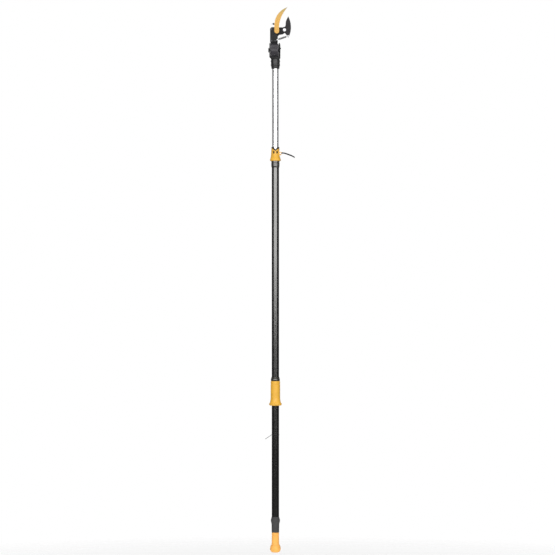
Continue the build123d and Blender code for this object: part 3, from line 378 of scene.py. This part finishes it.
def flute_cord():
    """Braided cord in the flute, built as two runs; on the tool the short foot draws out with the grip's slider
    and the rest rises with the mast.
    """
    low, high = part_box("drive_cord_rise")
    radius, sides = (high.x - low.x) / 2, 16
    ring_gap, strands, braid_length, foot_run = 0.0012, 4, 0.0072, 0.17
    x, y = (low.x + high.x) / 2, (low.y + high.y) / 2
    joined = low.z + foot_run
    runs = (("drive_cord_flute_foot", ("grip", "pole"), low.z, joined),
            ("drive_cord_flute", ("pole", "mast"), joined, high.z))
    for name, bodies, bottom, top in runs:
        count = round((top - bottom) / ring_gap)
        gap = (top - bottom) / count

        def braided(step, turn):
            lay = math.tau * (bottom - low.z + step * gap) / braid_length
            crossing = max(math.sin(lay + strands * turn), math.sin(lay - strands * turn))
            return radius * (0.93 + 0.07 * crossing)

        path = [Vector((x, y, bottom + step * gap)) for step in range(count + 1)]
        piece = swept_tube(name, path, braided, sides)
        give_finish(piece, FINISHES["cord"])
        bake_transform(piece)
        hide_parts("drive_cord_rise")


def following_cord(node, longest):
    """Copy of a cord's solid, cut into short lengths, fine enough to bend between its two bodies."""
    mesh = NODES[node].data.copy()
    made = bmesh.new()
    made.from_mesh(mesh)
    while True:
        long_edges = [edge for edge in made.edges if edge.calc_length() > longest]
        if not long_edges:
            break
        bmesh.ops.subdivide_edges(made, edges=long_edges, cuts=1)
    made.to_mesh(mesh)
    made.free()
    piece = bpy.data.objects.new(node + "_run", mesh)
    bpy.context.scene.collection.objects.link(piece)
    give_finish(piece, FINISHES["cord"])
    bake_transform(piece)
    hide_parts(node)


def head_and_foot_cords():
    """The cord's other moving runs: from the foot pulley, through the tilt axis and round the tackle."""
    long_cut, short_cut = 0.02, 0.0025
    following_cord("drive_cord_anchor", long_cut)
    following_cord("tilt_cords", short_cut)
    following_cord("tackle_cord", short_cut)


coil_spring()
flute_cord()
head_and_foot_cords()


# ---------------------------------------------------------------- studio and camera
def area_light(name, place, aim, size, power):
    data = bpy.data.lights.new(name, "AREA")
    data.shape = "RECTANGLE"
    data.size, data.size_y = size
    data.energy = power
    light = bpy.data.objects.new(name, data)
    light.location = place
    light.rotation_euler = (Vector(aim) - Vector(place)).to_track_quat("-Z", "Y").to_euler()
    bpy.context.scene.collection.objects.link(light)


def studio():
    world = bpy.data.worlds.new("studio")
    bpy.context.scene.world = world
    world.use_nodes = True
    nodes, links = world.node_tree.nodes, world.node_tree.links
    nodes.clear()
    output = nodes.new("ShaderNodeOutputWorld")
    seen = nodes.new("ShaderNodeBackground")
    seen.inputs["Color"].default_value = (1, 1, 1, 1)
    seen.inputs["Strength"].default_value = 1.0
    lighting = nodes.new("ShaderNodeBackground")
    lighting.inputs["Color"].default_value = (1, 1, 1, 1)
    lighting.inputs["Strength"].default_value = 0.11
    path = nodes.new("ShaderNodeLightPath")
    mix = nodes.new("ShaderNodeMixShader")
    links.new(path.outputs["Is Camera Ray"], mix.inputs["Fac"])
    links.new(lighting.outputs["Background"], mix.inputs[1])
    links.new(seen.outputs["Background"], mix.inputs[2])
    links.new(mix.outputs["Shader"], output.inputs["Surface"])
    front_width, front_depth, front_bottom, front_top = 19.0, 8.0, 1.05, 4.05
    front_middle = (front_bottom + front_top) / 2
    area_light("front_softbox", (0, -front_depth, front_middle), (0, 0, front_middle),
               (front_width, front_top - front_bottom), 900)
    area_light("overhead", (0, -0.6, 6.0), (0, 0, 0), (6, 6), 190)
    head_height = 2.45
    for side, x, power in (("left", -3.0, 4.5), ("right", 3.0, 7.0)):
        area_light(side + "_edge_panel", (x, 1.5, head_height), (0, 0, head_height), (4.5, 1.5), power)


def floor():
    """Pale round sweep below the knob's full pull that fades out into the white surroundings."""
    radius, fade_from, knob_pull, corners = 2.4, 0.7, 0.125, 96
    mesh = bpy.data.meshes.new("floor")
    turns = [math.tau * corner / corners for corner in range(corners)]
    mesh.from_pydata([(radius * math.cos(turn), radius * math.sin(turn), 0) for turn in turns], [],
                     [tuple(range(corners))])
    made = bpy.data.objects.new("floor", mesh)
    made.location.z = -knob_pull
    bpy.context.scene.collection.objects.link(made)
    paint = Finish("studio_floor", (0.9, 0.9, 0.9), 0.8, specular=0.1)
    paint.colour(paint.ramp(paint.noise(2.0, 3.0), [(0.3, (0.88, 0.88, 0.88)), (0.7, (0.92, 0.92, 0.92))]))
    length = paint.add("ShaderNodeVectorMath", operation="LENGTH")
    paint.link(paint.place, length.inputs[0])
    faded = paint.range(length.outputs["Value"], fade_from, radius, 1.0, 0.0)
    paint.link(faded, paint.shader.inputs["Alpha"])
    paint.set("Emission Color", (1, 1, 1, 1))
    paint.set("Emission Strength", 0.3)
    mesh.materials.append(paint.material)


def camera():
    data = bpy.data.cameras.new("camera")
    data.sensor_width = 36.0
    distance, view_height, view_centre_x, view_lift = 14.0, 2.455, 0.0093, 0.0107
    data.lens = data.sensor_width * distance / view_height
    data.clip_end = 100
    made = bpy.data.objects.new("camera", data)
    low, high = CAD_BOX
    made.location = (view_centre_x, -distance, (low.z + high.z) / 2 + view_lift)
    made.rotation_euler = (math.pi / 2, 0, 0)
    bpy.context.scene.collection.objects.link(made)
    bpy.context.scene.camera = made


bpy.context.scene.view_settings.view_transform = "Standard"
camera()
studio()
floor()
